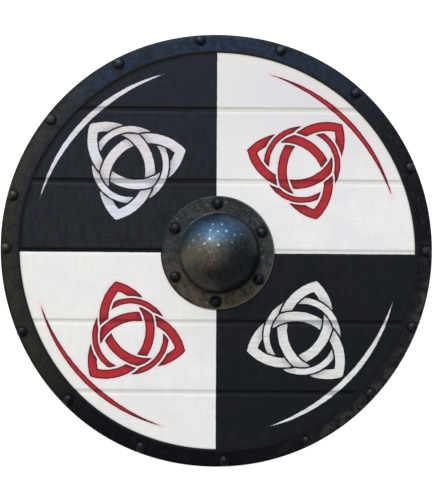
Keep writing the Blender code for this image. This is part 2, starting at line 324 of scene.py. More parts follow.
def black_paint(f, cues):
    """Black, lighter on the left, bluer at the top as painted reflection, with painted shade in the grooves
    and by the rim's edge, and darker along the paint's edges.
    """
    mottled = f.ramp(cues.mottle, 0.38, 0.62)
    left_tone = f.mix(mottled, (25, 32, 32), (31, 30, 41))
    woven = f.ramp(cues.leftward, 0.0, 0.8, 0.15, 0.6)
    # Painted shadow of the rim's edge, on the left
    rim_shadow = f.times(f.ramp(cues.edge, 6.5, 3.2), cues.leftward)
    return f.coats(
        f.mix(mottled, (10, 14, 16), (15, 16, 24)),
        (f.times(cues.leftward, 0.8), left_tone),
        (f.times(f.ramp(cues.cross, 0.45, 0.62), woven), (32, 36, 37)),
        (f.times(f.ramp(cues.cross, 0.48, 0.36), woven), (12, 14, 17)),
        # Painted reflection of the cool light: bluer at the top
        (f.times(cues.upward, 0.6), (23, 26, 40)),
        (f.ramp(cues.grain, 0.52, 0.78, 0.0, 0.5), (12, 13, 17)),
        (f.ramp(cues.fine, 0.5, 0.8, 0.0, 0.5), (42, 43, 50)),
        # Painted shade in the grooves
        (f.times(cues.groove, 0.95), (7, 8, 11)),
        (f.times(rim_shadow, 0.9), (10, 11, 14)),
        (f.ramp(cues.tape, 1.1, 0.2, 0.0, 0.6), (11, 12, 16)),
        (f.ramp(cues.ground, -2.4, -0.8, 0.0, 0.7), (9, 10, 12)),
    )


def white_paint(f, cues):
    """White, greyer at the top as painted shade, warmer by the rim, with painted shade in the grooves and a
    pink halo round the red.
    """
    warmth = f.times(f.ramp(cues.edge, 24.0, 2.0), f.ramp(cues.brush, 0.3, 0.7, 0.35, 1.0))
    halo = f.times(f.ramp(cues.ink, 4.6, 0.8), f.ramp(cues.fine, 0.25, 0.75, 0.2, 0.5))
    return f.coats(
        f.mix(f.ramp(cues.mottle, 0.3, 0.7), (237, 234, 227), (229, 226, 225)),
        # Painted shade: greyer toward the top
        (f.times(cues.upward, 0.85), (214, 210, 213)),
        (f.times(cues.leftward, 0.5), (236, 230, 221)),
        (f.ramp(cues.brush, 0.46, 0.7, 0.0, 0.4), (222, 220, 215)),
        (f.ramp(cues.cross, 0.46, 0.64, 0.0, 0.35), (222, 220, 217)),
        (f.ramp(cues.grain, 0.52, 0.8, 0.0, 0.15), (204, 199, 190)),
        (f.ramp(cues.fine, 0.5, 0.8, 0.0, 0.25), (210, 208, 205)),
        (f.times(warmth, f.ramp(cues.upward, 0.0, 0.8, 0.2, 0.6)), (232, 223, 205)),
        # Grime and painted shade in a thin line by the rim
        (f.ramp(cues.edge, 4.0, 1.5, 0.0, 0.3), (180, 172, 158)),
        # Painted shade in the grooves, stronger toward the top
        (f.times(cues.groove, f.ramp(cues.upward, 0.0, 0.8, 0.5, 0.95)), (213, 207, 196)),
        (halo, (250, 190, 186)),
    )


def red_paint(f, cues):
    """Red, uneven from the brush, with a dark outline and painted shade in the grooves."""
    return f.coats(
        f.mix(f.ramp(cues.brush, 0.3, 0.7), (190, 38, 44), (160, 40, 48)),
        (f.ramp(cues.grain, 0.5, 0.78, 0.0, 0.5), (132, 30, 40)),
        (f.ramp(cues.fine, 0.46, 0.74, 0.0, 0.5), (172, 68, 66)),
        (f.times(cues.shade, 0.75), (96, 26, 34)),
        # Painted shade in the grooves
        (f.times(cues.groove, 0.55), (120, 30, 36)),
        (f.ramp(cues.ink, -2.4, -1.3), (78, 28, 36)),
    )


def bone_paint(f, cues):
    """Off-white, cooler in places, with the grain showing through and painted shade in the grooves."""
    cool = f.ramp(f.noise((90.0, 40.0, 9.0), 2.0, 0.5, 9.0), 0.35, 0.65)
    return f.coats(
        f.mix(cool, (224, 212, 209), (219, 218, 227)),
        (f.times(f.toward(0.7, -0.7, -60.0, 60.0), 0.65), (229, 229, 216)),
        (f.ramp(cues.brush, 0.46, 0.72, 0.0, 0.6), (190, 184, 178)),
        (f.ramp(cues.grain, 0.5, 0.78, 0.0, 0.6), (164, 160, 160)),
        (f.ramp(cues.fine, 0.48, 0.75, 0.0, 0.5), (178, 173, 175)),
        (f.times(cues.shade, 0.5), (136, 133, 138)),
        # Painted shade in the grooves
        (f.times(cues.groove, 0.7), (146, 147, 152)),
    )


def painted_finish():
    """Black and white quarters, with red figures on the white and off-white ones on the black."""
    f = Finish("painted_boards", Specular_IOR_Level=0.14)
    cues = paint_cues(f)
    fill = f.ramp(cues.ink, 0.35, -0.35)
    on_white = f.mix(fill, white_paint(f, cues), red_paint(f, cues))
    on_black = f.mix(fill, black_paint(f, cues), bone_paint(f, cues))
    colour = f.mix(f.ramp(cues.ground, -0.35, 0.35), on_black, on_white)
    # Grime and painted shade where the boards go under the rim: near black at its edge
    colour = f.mix(f.ramp(cues.edge, 1.6, 0.4), colour, (14, 14, 16))
    rough = f.ramp(f.math("ADD", cues.brush, f.times(cues.fine, 0.4)), 0.4, 1.0, 0.46, 0.68)
    coat = f.math("ADD", f.times(cues.grain, 0.5), f.times(cues.brush, 0.5))
    return f.wear(colour, rough, None, f.bump(coat, 0.14))


def wood_colour(f, grain_size, shift, light, dark):
    """Straight grain along X, with a slow change of tone. Gives its colour and its height."""
    bend = f.noise((240.0, 60.0, 60.0), detail=1.0, shift=shift)
    bent = f.vector("ADD", f.place, f.vector("SCALE", bend, scale=34.0))
    rings = f.noise((grain_size * 60, grain_size, grain_size * 2), 3.0, 0.6, shift, bent)
    pores = f.noise((26.0, 0.5, 0.5), 2.0, 0.6, shift)
    tone = f.noise((190.0, 40.0, 40.0), 2.0, 0.5, shift)
    colour = f.coats(
        f.mix(f.ramp(rings, 0.36, 0.66), light, dark),
        (f.ramp(tone, 0.3, 0.75, 0.0, 0.45), dark),
        (f.ramp(pores, 0.60, 0.74, 0.0, 0.5), (70, 44, 24)),
    )
    return colour, f.math("ADD", f.times(rings, 0.6), f.times(pores, -0.4))


def bare_finish():
    """Oiled boards, as they show on the back, with dark joints between them."""
    f = Finish("bare_boards", Specular_IOR_Level=0.35)
    colour, height = wood_colour(f, 2.6, f.attribute("board"), (186, 146, 100), (142, 100, 62))
    stain = f.ramp(f.noise(70.0, 3.0, 0.6, 3.0), 0.45, 0.75, 0.0, 0.45)
    inside = f.ramp(f.axis("Z"), BOARD_BACK + 0.1, BOARD_BACK + BACK_EDGE)
    joint = f.times(f.ramp(f.attribute("groove"), 1.6, 0.6), inside)
    colour = f.coats(colour, (stain, (112, 80, 52)), (joint, (20, 18, 17)))
    return f.wear(colour, f.ramp(height, 0.0, 0.4, 0.5, 0.68), None, f.bump(height, 0.25))


def grip_finish():
    """Harder wood along Y, darkened by the hand at the handle."""
    f = Finish("oiled_grip", Specular_IOR_Level=0.45)
    turn = f.node("ShaderNodeVectorRotate", rotation_type="Z_AXIS")
    f.put(turn.inputs["Vector"], f.place)
    f.put(turn.inputs["Angle"], math.pi / 2)
    f.place = turn.outputs["Vector"]
    colour, height = wood_colour(f, 1.7, 11.0, (150, 104, 62), (104, 66, 38))
    along = f.math("ABSOLUTE", f.axis("X"))
    worn = f.times(f.ramp(along, 62.0, 34.0), f.ramp(f.noise(16.0), 0.3, 0.7, 0.5, 0.85))
    colour = f.mix(worn, colour, (78, 48, 28))
    return f.wear(colour, f.ramp(along, 34.0, 70.0, 0.34, 0.56), None, f.bump(height, 0.18))


# Steel


def steel_finish(name, tones, rust, shine, shift=0.0, metallic=0.85):
    """Steel. tones gives its colour from three noises, and where painted shade makes it near black and hides
    the metal.
    """
    f = Finish(name, Specular_IOR_Level=0.2, Metallic=metallic)
    slow = f.noise(58.0, 3.0, 0.55, shift)
    patch = f.noise(13.0, 4.0, 0.62, shift + 3.0)
    fine = f.noise(3.8, 3.0, 0.62, shift + 5.0)
    colour, scale = tones(f, slow, patch, fine)
    colour = f.coats(
        colour,
        (f.ramp(patch, 0.54, 0.76, 0.0, rust), (74, 60, 48)),
        (f.ramp(fine, 0.56, 0.8, 0.0, 0.45), (14, 14, 16)),
    )
    shown = None
    # Painted shade: where tones ask, near black with the metal hidden, so no light shows there
    if scale is not None:
        colour = f.mix(scale, colour, (9, 9, 11))
        shown = f.math("SUBTRACT", metallic, f.times(scale, metallic))
    rough = f.ramp(f.math("ADD", patch, f.times(fine, 0.5)), 0.5, 1.0, *shine)
    height = f.math("SUBTRACT", f.times(patch, 0.5), f.times(f.ramp(fine, 0.5, 0.76), 0.5))
    return f.wear(colour, rough, shown, f.bump(height, 0.12))


def rim_streaks(f, across):
    """Noise drawn out along the strip."""
    lines = f.node("ShaderNodeCombineXYZ")
    f.put(lines.inputs["X"], f.times(across, 0.42))
    along = f.vector("SCALE", f.place, scale=0.035)
    return f.noise(1.0, 3.0, 0.6, at=f.vector("ADD", lines.outputs[0], along))


def rim_tones(f, slow, patch, fine):
    """Painted reflections, blue at the top and brown on the left, dusty at the lower right, painted shade at
    the bottom.
    """
    across = f.attribute("edge")
    streaks = rim_streaks(f, across)
    # Painted reflection of the cool light at the top
    blue_reflection = f.times(f.toward(-0.25, 0.97, 60.0, 260.0), f.ramp(slow, 0.2, 0.6, 0.6, 1.0))
    # Painted reflection of the warm light on the left
    warm_reflection = f.times(f.toward(-1.0, 0.0, 130.0, 275.0), f.ramp(patch, 0.3, 0.6, 0.7, 1.0))
    hue = f.mix(f.ramp(across, 15.0, 5.0), (57, 55, 42), (50, 46, 49))
    dust = f.times(f.ramp(patch, 0.58, 0.42), f.ramp(across, 2.0, 17.0))
    dusty = f.times(f.toward(0.75, -0.66, 190.0, 270.0, slow, 90.0), dust)
    light = f.times(f.ramp(streaks, 0.4, 0.7), f.ramp(patch, 0.38, 0.66, 0.0, 0.7))
    # Painted shade toward the bottom
    shade_below = f.toward(-0.2, -1.0, 190.0, 290.0, slow, 60.0)
    colour = f.coats(
        f.mix(f.ramp(slow, 0.3, 0.7), (20, 21, 25), (29, 30, 32)),
        (blue_reflection, (37, 48, 64)),
        (f.times(warm_reflection, 0.9), hue),
        (dusty, (62, 63, 56)),
        (light, (55, 56, 55)),
        (f.ramp(streaks, 0.5, 0.3, 0.0, 0.45), (20, 19, 24)),
        (f.ramp(patch, 0.44, 0.62, 0.0, 0.45), (24, 24, 29)),
        (f.ramp(fine, 0.48, 0.3, 0.0, 0.45), (62, 62, 68)),
        (f.times(shade_below, 0.85), (14, 16, 21)),
        # Grime and painted shade round the rivets
        (f.ramp(f.attribute("rivet"), *RIVET_GRIME_AND_SHADE, 0.0, 0.75), (12, 12, 14)),
    )
    # Painted shade along both edges of the strip
    return colour, f.math("MAXIMUM", f.ramp(across, 22.2, 24.2), f.ramp(across, 3.2, 1.4))


def flange_tones(f, slow, patch, fine):
    """Grey, browner at the bottom, with painted shade on its edge on the lower left and a painted highlight
    on the right.
    """
    border = f.attribute("border")
    # Painted shade on the edge, on the lower left
    shadow = f.times(f.ramp(border, 2.6, 1.2), f.toward(-0.7, -0.4, 10.0, 60.0, patch, 40.0))
    # Painted highlight on the edge, on the right
    painted_highlight = f.times(f.ramp(border, 2.2, 0.8), f.toward(1.0, -0.35, -30.0, 50.0, patch, 60.0))
    return f.coats(
        f.mix(f.ramp(slow, 0.32, 0.68), (52, 55, 58), (64, 64, 64)),
        (f.toward(-0.15, -0.99, 0.0, 76.0, patch, 80.0), (88, 75, 62)),
        (f.ramp(patch, 0.6, 0.36, 0.0, 0.8), (42, 42, 37)),
        (f.ramp(fine, 0.50, 0.30, 0.0, 0.55), (98, 97, 86)),
        (f.times(shadow, 0.7), (22, 21, 19)),
        (painted_highlight, (112, 112, 98)),
    )


def dome_tones(f, slow, patch, fine):
    """Painted reflections, brown on the left with one warm, flecked highlight and blue at the top; painted
    shade on the right.
    """
    to_left = f.toward(-0.9, 0.1, -8.0, 30.0, patch, 30.0)
    brown = f.times(to_left, f.toward(0.1, 1.0, -40.0, -6.0))
    from_spot = f.vector("SUBTRACT", f.place, WARM_SPOT)
    far = f.math("SQRT", f.vector("DOT_PRODUCT", from_spot, from_spot))
    ragged = f.math("ADD", far, f.times(f.math("SUBTRACT", patch, 0.5), 30.0))
    flecks = f.times(f.ramp(fine, 0.44, 0.32), f.ramp(ragged, 16.0, 4.0, 0.0, 0.7))
    return f.coats(
        f.mix(f.ramp(patch, 0.35, 0.65), (52, 54, 49), (74, 74, 66)),
        # Painted reflection of the warm light on the left
        (f.times(brown, 0.85), (114, 110, 100)),
        # Painted warm highlight round WARM_SPOT, with flecks of it
        (f.ramp(ragged, 24.0, 4.0, 0.0, 0.6), (106, 92, 78)),
        (flecks, (164, 132, 106)),
        # Painted reflection of the cool light at the top, darker blue toward its edge
        (f.toward(-0.1, 1.0, 5.0, 29.0, patch, 36.0), (64, 92, 114)),
        (f.toward(0.0, 1.0, 31.0, 53.0, patch, 16.0), (34, 49, 70)),
        (f.ramp(fine, 0.44, 0.6, 0.0, 0.35), (44, 56, 64)),
        # Painted shade on the right
        (f.toward(0.9, -0.4, 6.0, 50.0, slow, 24.0), (43, 47, 51)),
        (f.ramp(fine, 0.50, 0.30, 0.0, 0.3), (98, 106, 108)),
    )


def boss_tones(f, slow, patch, fine):
    """The flange and the dome, with painted highlights on hammer marks, grime and painted shade round the
    rivets, and painted shadow at the dome's foot.
    """
    colour = f.coats(
        flange_tones(f, slow, patch, fine),
        (f.attribute("dome"), dome_tones(f, slow, patch, fine)),
        # Painted highlights on hammer marks
        (f.times(f.attribute("speck"), 0.52), (196, 208, 220)),
        # Grime and painted shade round the rivets
        (f.ramp(f.attribute("rivet"), *RIVET_GRIME_AND_SHADE, 0.0, 0.75), (14, 14, 16)),
    )
    # Painted shadow round the dome's foot on the lower right, near black with the metal hidden
    return colour, f.times(f.attribute("foot"), 0.85)


def rivet_tones(f, slow, patch, fine):
    """Near black, with painted reflections: bluer at the top of the shield and browner at its left edge."""
    lower = f.mix(f.ramp(patch, 0.35, 0.65), (31, 31, 35), (46, 46, 49))
    upper = f.mix(f.ramp(patch, 0.35, 0.65), (36, 42, 51), (50, 55, 63))
    colour = f.coats(
        lower,
        # Painted reflections: lighter and bluer at the top, browner at the left edge
        (f.toward(0.0, 1.0, -60.0, 260.0), upper),
        (f.toward(-1.0, 0.25, 255.0, 295.0), (58, 59, 50)),
    )
    return colour, None


def floor_finish():
    f = Finish("pale_floor", Specular_IOR_Level=0.0, Roughness=0.9, Emission_Strength=0.95)
    f.shader.inputs["Base Color"].default_value = (0.3, 0.3, 0.3, 1.0)
    f.shader.inputs["Emission Color"].default_value = (1.0, 1.0, 1.0, 1.0)
    return f.material


# Meshes


def made_object(name, points, faces, finishes, pick=None, sharp=45.0):
    """An object from points in millimetres. pick gives each face's finish."""
    mesh = bpy.data.meshes.new(name)
    mesh.from_pydata((np.asarray(points, float) / MM).tolist(), [], faces)
    for finish in finishes:
        mesh.materials.append(finish)
    if pick is not None:
        mesh.polygons.foreach_set("material_index", np.asarray(pick, np.int32))
    mesh.shade_smooth()
    mesh.set_sharp_from_angle(angle=math.radians(sharp))
    obj = bpy.data.objects.new(name, mesh)
    bpy.context.scene.collection.objects.link(obj)
    return obj


def points_of(mesh):
    """A mesh's points in millimetres."""
    found = np.zeros(len(mesh.vertices) * 3, np.float32)
    mesh.vertices.foreach_get("co", found)
    return found.reshape(-1, 3).astype(float) * MM


def mark(mesh, **marks):
    """Keeps numbers for each point, which a finish can read by their name."""
    for name, values in marks.items():
        made = mesh.attributes.new(name, "FLOAT", "POINT")
        made.data.foreach_set("value", np.asarray(values, np.float32))


def grid(rows, columns, wrap=False):
    """Faces of a grid of points numbered row by row. Wrapped rows close on themselves."""
    faces = []
    for row in range(rows - 1):
        low, high = row * columns, (row + 1) * columns
        for column in range(columns if wrap else columns - 1):
            after = (column + 1) % columns
            faces.append((low + column, low + after, high + after, high + column))
    return faces


def grid_border(rows, columns):
    """The numbers of a grid's outer points, in the order that runs round it."""
    count, last = rows * columns, (rows - 1) * columns
    return [
        *range(columns),
        *range(2 * columns - 1, count, columns),
        *range(count - 2, last - 1, -1),
        *range(last - columns, 0, -columns),
    ]


def tube_ends(rows, columns):
    """The two faces that close a wrapped grid."""
    last = (rows - 1) * columns
    return [tuple(reversed(range(columns))), tuple(range(last, last + columns))]


def eased(share):
    share = np.clip(share, 0.0, 1.0)
    return share * share * (3 - 2 * share)


def waves(x, y, size, seed, count=5):
    """Smooth random waves between -1 and 1, about this size."""
    chance = np.random.default_rng(seed)
    total = np.zeros(np.broadcast(x, y).shape)
    for _ in range(count):
        angle, turn = chance.uniform(0, math.tau, 2)
        length = size * chance.uniform(0.6, 1.6)
        total += np.sin(math.tau * (x * math.cos(angle) + y * math.sin(angle)) / length + turn)
    return total / count


# The painted pattern


def knot_arcs():
    """The middle of each of the knot's three circles, with the angle at which it lies."""
    spread = KNOT_CIRCLE / math.sqrt(3)
    angles = [math.pi + math.tau * i / 3 for i in range(3)]
    return [(spread * math.cos(angle), spread * math.sin(angle), angle) for angle in angles]


def ring_crossing(arc, side):
    """Where the ring crosses an arc, on one side of the line to the arc's middle."""
    distance = math.hypot(arc[0], arc[1])
    along = (KNOT_RING**2 - KNOT_CIRCLE**2 + distance**2) / (2 * distance)
    turn = arc[2] + side * math.acos(along / KNOT_RING)
    return KNOT_RING * math.cos(turn), KNOT_RING * math.sin(turn)


def knot_distance(x, y):
    """Distance outside a knot of three arcs laced with a ring, one point of it along +X.

    The second number is the distance from the nearest band that passes over, where one does."""
    half, ring_half = KNOT_BAND / 2, KNOT_RING_BAND / 2
    arcs = knot_arcs()
    reach = [np.hypot(x - arc[0], y - arc[1]) for arc in arcs]
    bands = [np.abs(r - KNOT_CIRCLE) - half for r in reach]
    ring = np.abs(np.hypot(x, y) - KNOT_RING) - ring_half
    shapes = []
    for i in range(3):
        within = np.minimum(reach[(i + 1) % 3], reach[(i + 2) % 3]) - (KNOT_CIRCLE + half)
        shapes.append(np.maximum(bands[i], within))
    laced_ring = ring
    cast = np.full(np.shape(x), FAR)

    def laced(under, over, spot, size):
        """Cuts the under band clear of the over band near a crossing, and notes how far that band is."""
        nonlocal cast
        near = np.hypot(x - spot[0], y - spot[1]) - size
        beside = np.where(over > 0, np.maximum(over, near + SHADE_FADE), FAR)
        cast = np.minimum(cast, np.where(under < 0, beside, FAR))
        return np.maximum(under, -np.maximum(over - KNOT_GAP, near))

    for i in range(3):
        j, k = (i + 1) % 3, (i + 2) % 3
        laced_ring = laced(laced_ring, bands[i], ring_crossing(arcs[i], 1), RING_LACING)
        shapes[i] = laced(shapes[i], ring, ring_crossing(arcs[i], -1), RING_LACING)
        shapes[j] = laced(shapes[j], bands[i], arcs[k], KNOT_LACING)
    return np.minimum.reduce([*shapes, laced_ring]), cast


def ink_distance(x, y):
    """Distance outside the figures, which repeat in each quarter, and the knot's second number."""
    turn = np.floor(np.arctan2(y, x) / (math.pi / 2)) * (math.pi / 2) + math.pi / 4
    out = x * np.cos(turn) + y * np.sin(turn)
    side = y * np.cos(turn) - x * np.sin(turn)
    knot, cast = knot_distance(out - KNOT_DISTANCE, side)
    swing = np.degrees(np.arctan2(side, out)) / CRESCENT_REACH
    swell = CRESCENT_WIDTH / 2 * (1 - swing**2)
    beyond = np.maximum(np.abs(swing) - 1, 0) * CRESCENT_TAPER
    crescent = np.abs(np.hypot(x, y) - CRESCENT_RADIUS) - np.maximum(swell, 0) + beyond
    return np.clip(np.minimum(knot, crescent), -FAR, FAR), cast


def ground_distance(x, y):
    """The distance to the paint's nearest edge, below 0 on the black quarters."""
    level = np.where(x < QUARTER_X, QUARTER_LEFT, QUARTER_RIGHT)
    side = np.clip(x - QUARTER_X - y * QUARTER_LEAN, -FAR, FAR)
    up = np.clip(y - x * math.tan(math.radians(SEAM_TILT)) - level, -FAR, FAR)
    same = np.sign(side) * np.sign(up)
    return same * np.minimum(np.abs(side), np.abs(up))


# Boards


def tilted(points, degrees):
    """Points turned flat about the shield's middle."""
    angle = math.radians(degrees)
    turned = points.copy()
    turned[:, 0] = points[:, 0] * math.cos(angle) - points[:, 1] * math.sin(angle)
    turned[:, 1] = points[:, 0] * math.sin(angle) + points[:, 1] * math.cos(angle)
    return turned


def seam_distance(across):
    return np.min([np.abs(across - seam) for seam in SEAMS], axis=0)


def below_groove(across):
    """How far below the nearest painted groove a place lies; places above the groove are below 0.

    Also gives where that groove's lower side starts and ends."""
    seams = np.array(SEAMS)
    nearest = np.argmin(np.abs(np.asarray(across)[..., None] - seams), axis=-1)
    sink, start, end = np.moveaxis(np.array(PAINTED_GROOVES)[nearest], -1, 0)
    return seams[nearest] - sink - across, start, end


def face_height(along, across, number):
    """The face: worn flat boards, rounded over into the grooves, further on their lower side."""
    below, start, end = below_groove(across)
    upper = np.clip(1 + below / (GROOVE_WIDTH / 2), 0, 1) ** 1.3
    lower = 1 - eased((below - start) / (end - start))
    fall = PAINTED_DEPTH * np.where(below < 0, upper, lower)
    uneven = FACE_SWELL * waves(along / 6, across, 70.0, number)
    return BOARD_FACE - FACE_SINK - fall + uneven


def board_rows(low, high):
    """Places across a board: close together by its edges, wider apart between."""
    close = np.array([0.0, 0.35, 0.7, 1.1, 1.5, 2.0, 2.6, 3.3])
    inner = np.arange(low + close[-1] + FACE_STEP, high - close[-1] - 0.5, FACE_STEP)
    rows = np.concatenate([low + close, inner, high - close[::-1]])
    return rows[np.abs(rows) < BOARD_RADIUS - 0.2]


def board_sides(edge, middle, border, first):
    """The walls and the back under a face's edge, eased along the joints at the back.

    border has the numbers of the edge's points, and first is that of the first new point."""
    near = np.clip(1 - seam_distance(edge[:, 1]) / 4, 0, 1)
    inward = np.where(edge[:, 1] > middle, -1, 1)
    wall, under = edge.copy(), edge.copy()
    wall[:, 1] += JOINT_LEAN * near
    wall[:, 2] = BOARD_BACK + BACK_EDGE
    under[:, 1] += (JOINT_LEAN + BACK_EDGE * inward) * near
    under[:, 2] = BOARD_BACK
    size = len(border)
    faces = []
    for i in range(size):
        j = (i + 1) % size
        faces.append((border[i], first + i, first + j, border[j]))
        faces.append((first + i, first + size + i, first + size + j, first + j))
    faces.append(tuple(first + size + i for i in reversed(range(size))))
    return np.concatenate([wall, under]), faces


def make_board(number, node, finishes, hole):
    """A board with a fine face, cut to the shield's circle and to the hand hole."""
    edges = [BOARD_RADIUS, *SEAMS, -BOARD_RADIUS]
    gap = PAINTED_GAP / 2
    high = edges[number - 1] - (gap if number > 1 else 0.0)
    low = edges[number] + (gap if number < len(BOARDS) else 0.0)
    rows = board_rows(low, high)
    columns = 2 * int(BOARD_RADIUS / FACE_STEP) + 1
    along = np.sqrt(BOARD_RADIUS**2 - rows**2)[:, None] * np.linspace(-1, 1, columns)[None, :]
    across = np.repeat(rows[:, None], columns, axis=1)
    top = np.stack([along, across, face_height(along, across, number)], axis=-1).reshape(-1, 3)
    faces = grid(len(rows), columns)
    border = grid_border(len(rows), columns)
    below, sides = board_sides(top[border], (low + high) / 2, border, len(top))
    pick = [0] * len(faces) + [1] * len(sides)
    points = tilted(np.concatenate([top, below]), SEAM_TILT)
    obj = made_object(f"{node}_painted", points, faces + sides, finishes, pick, 35.0)
    if low - HAND_HOLE_RADIUS < BOSS_CENTRE[1] < high + HAND_HOLE_RADIUS:
        cut_hole(obj, hole)
    mark_board(obj.data, number)
    return obj


def cut_hole(obj, hole):
    """Cuts the hand hole out of a board, and keeps the result as its mesh."""
    modifier = obj.modifiers.new("hand_hole", "BOOLEAN")
    modifier.operation = "DIFFERENCE"
    modifier.solver = "EXACT"
    modifier.object = hole
    seen = bpy.context.evaluated_depsgraph_get()
    cut = bpy.data.meshes.new_from_object(obj.evaluated_get(seen), depsgraph=seen)
    obj.modifiers.clear()
    cut.name = obj.data.name
    obj.data = cut


def mark_board(mesh, number):
    """What the finishes need at each point. The back goes by its joints, not by the grooves."""
    points = points_of(mesh)
    x, y = points[:, 0], points[:, 1]
    ink, cast = ink_distance(x, y)
    across = tilted(points, -SEAM_TILT)[:, 1]
    below, start, _ = below_groove(across)
    on_face = points[:, 2] > BOARD_BACK + 2 * BACK_EDGE
    mark(
        mesh,
        ink=ink,
        cast=cast,
        ground=ground_distance(x, y),
        groove=np.where(on_face, np.abs(below - start / 3), seam_distance(across)),
        edge=rim_inner(x, y) - np.hypot(x, y),
        tape=np.where(y < QUARTER_RIGHT, x - TAPE_LINE_X, FAR),
        board=np.full(len(points), number * 3),
    )


def hand_hole(finish):
    """The cutter for the hand hole, removed once the boards are cut."""
    angles = np.arange(HOLE_STEPS) * math.tau / HOLE_STEPS
    ring = np.stack([np.cos(angles), np.sin(angles)], axis=-1) * HAND_HOLE_RADIUS + BOSS_CENTRE[:2]
    points = [(x, y, z) for z in (BOARD_BACK - 5, BOARD_FACE + 5) for x, y in ring]
    faces = grid(2, HOLE_STEPS, wrap=True) + tube_ends(2, HOLE_STEPS)
    return made_object("hand_hole", points, faces, [finish])


# Turned steel: the rim, the boss and the rivets


def rounded(points, radius, steps=5):
    """A path with each inner corner rounded: the points are (r, z)."""
    points = np.array(points, float)
    path = [points[0]]
    for before, corner, after in zip(points, points[1:], points[2:]):
        into, out = before - corner, after - corner
        cut_in = corner + into * min(radius / np.linalg.norm(into), 0.49)
        cut_out = corner + out * min(radius / np.linalg.norm(out), 0.49)
        for share in np.linspace(0, 1, steps):
            path.append((1 - share) ** 2 * cut_in + 2 * share * (1 - share) * corner + share**2 * cut_out)
    path.append(points[-1])
    return path


def spaced(path, step):
    """The same path with points at most a step apart."""
    out = [path[0]]
    for a, b in zip(path, path[1:]):
        count = max(1, math.ceil(np.linalg.norm(b - a) / step))
        out += [a + (b - a) * i / count for i in range(1, count + 1)]
    return np.array(out)


def dish(centre, radii, start, end, steps):
    """Points (r, z) on an ellipse's arc, both ends included. Angles are in degrees."""
    angles = np.radians(np.linspace(start, end, steps + 1))
    return np.stack([centre[0] + radii[0] * np.cos(angles), centre[1] + radii[1] * np.sin(angles)], axis=-1)


def spun(path, steps):
    """A path's r and z for each angle round the axis, and the angles."""
    r, z = (np.repeat(path[:, i][:, None], steps, axis=1) for i in (0, 1))
    return r, z, np.arange(steps) * math.tau / steps


def in_space(r, z, angles):
    """Points from r, z and the angle round the axis."""
    return np.stack([r * np.cos(angles), r * np.sin(angles), z], axis=-1)


def round_waves(angle, kinds):
    """The height of slow waves round the rim at an angle in radians."""
    return sum(size * np.cos(count * (angle - math.radians(crest))) for count, size, crest in kinds)


def rim_inner(x, y):
    """The radius of the rim's inner edge in the direction of a point."""
    r = np.maximum(np.hypot(x, y), 1.0)
    drift = (INNER_DRIFT[0] * x + INNER_DRIFT[1] * y) / r
    return RIM_INNER - INNER_INSET + drift + round_waves(np.arctan2(y, x), INNER_WAVES)


def rivet_distance(x, y):
    """Distance from the middle of the nearest rivet."""
    middles = [(low + high) / 2 for low, high in map(box_mm, RIVETS)]
    return np.min([np.hypot(x - middle[0], y - middle[1]) for middle in middles], axis=0)


def rim_section():
    """The strip's section as points (r, z): along its outside, then back along its inside."""
    low, high = RIM_LOW[2], RIM_HIGH[2]
    wall = SHIELD_RADIUS - RIM_THICKNESS
    ceiling, floor = high - RIM_THICKNESS, low + RIM_THICKNESS
    outside = [(RIM_INNER, low), (SHIELD_RADIUS, low), (SHIELD_RADIUS, high), (RIM_INNER, high)]
    inside = [(RIM_INNER, ceiling), (wall, ceiling), (wall, floor), (RIM_INNER, floor)]
    corners = [*rounded(outside, RIM_CORNER), *rounded(inside, RIM_CORNER - RIM_THICKNESS / 2, 3)]
    return spaced(corners, 1.6)


def make_rim(finish):
    """The folded strip, a little uneven from the hammer, with wandering edges."""
    path = rim_section()
    r, z, angles = spun(path, RIM_STEPS)
    x, y = r * np.cos(angles), r * np.sin(angles)
    free = np.clip((SHIELD_RADIUS - RIM_THICKNESS - r) / RIM_WIDTH, 0, 1)
    is_front = z > (RIM_LOW[2] + RIM_HIGH[2]) / 2
    dents = sum(depth * waves(x, y, size, seed, 7) for depth, size, seed in RIM_DENTS)
    sunk = np.where(is_front, dents - RIM_SINK, -dents + RIM_SINK)
    z = z + sunk * np.clip((SHIELD_RADIUS - r) / 2, 0, 1)
    inner_edge = free * (rim_inner(x, y) - RIM_INNER + INNER_RAGGED * waves(x, y, 55.0, 5, 6))
    r = r + inner_edge + (1 - free) * round_waves(angles, OUTER_WAVES) - OUTER_INSET
    points = in_space(r, z, angles).reshape(-1, 3)
    closed = grid(len(path) + 1, RIM_STEPS, wrap=True)
    faces = [tuple(corner % len(points) for corner in face) for face in closed]
    obj = made_object("rim_strip", points, faces, [finish], sharp=60.0)
    x, y = points[:, 0], points[:, 1]
    mark(obj.data, edge=np.hypot(x, y) - rim_inner(x, y), rivet=rivet_distance(x, y))
    return obj


def boss_section():
    """The sheet's face, the flange's eased edge and the inside, each as points (r, z)."""
    plain = np.arange(1.0, FLANGE_RADIUS - DOME_FOOT - 1.0, 0.95)
    face = np.concatenate([
        dish((0, DOME_START), (DOME_RADIUS, DOME_RISE), 89.4, 0, 84),
        dish((DOME_FOOT, BOSS_BEND), (BOSS_FILLET, BOSS_FILLET), 180, 270, 6),
        [(DOME_FOOT + step, BOSS_THICKNESS) for step in plain],
    ])
    edge = np.array([
        (FLANGE_RADIUS - 0.8, BOSS_THICKNESS),
        (FLANGE_RADIUS - 0.25, BOSS_THICKNESS - 0.2),
        (FLANGE_RADIUS, BOSS_THICKNESS - 0.7),
        (FLANGE_RADIUS, 0.3),
        (FLANGE_RADIUS - 0.3, 0.0),
    ])
    hollow = (DOME_RADIUS - BOSS_THICKNESS, DOME_RISE - BOSS_THICKNESS)
    inside = np.concatenate([
        [(DOME_FOOT, 0.0)],
        dish((DOME_FOOT, BOSS_BEND), (BOSS_BEND, BOSS_BEND), 270, 180, 5)[1:],
        dish((0, DOME_START), hollow, 0, 88, 26),
    ])
    return face, edge, inside


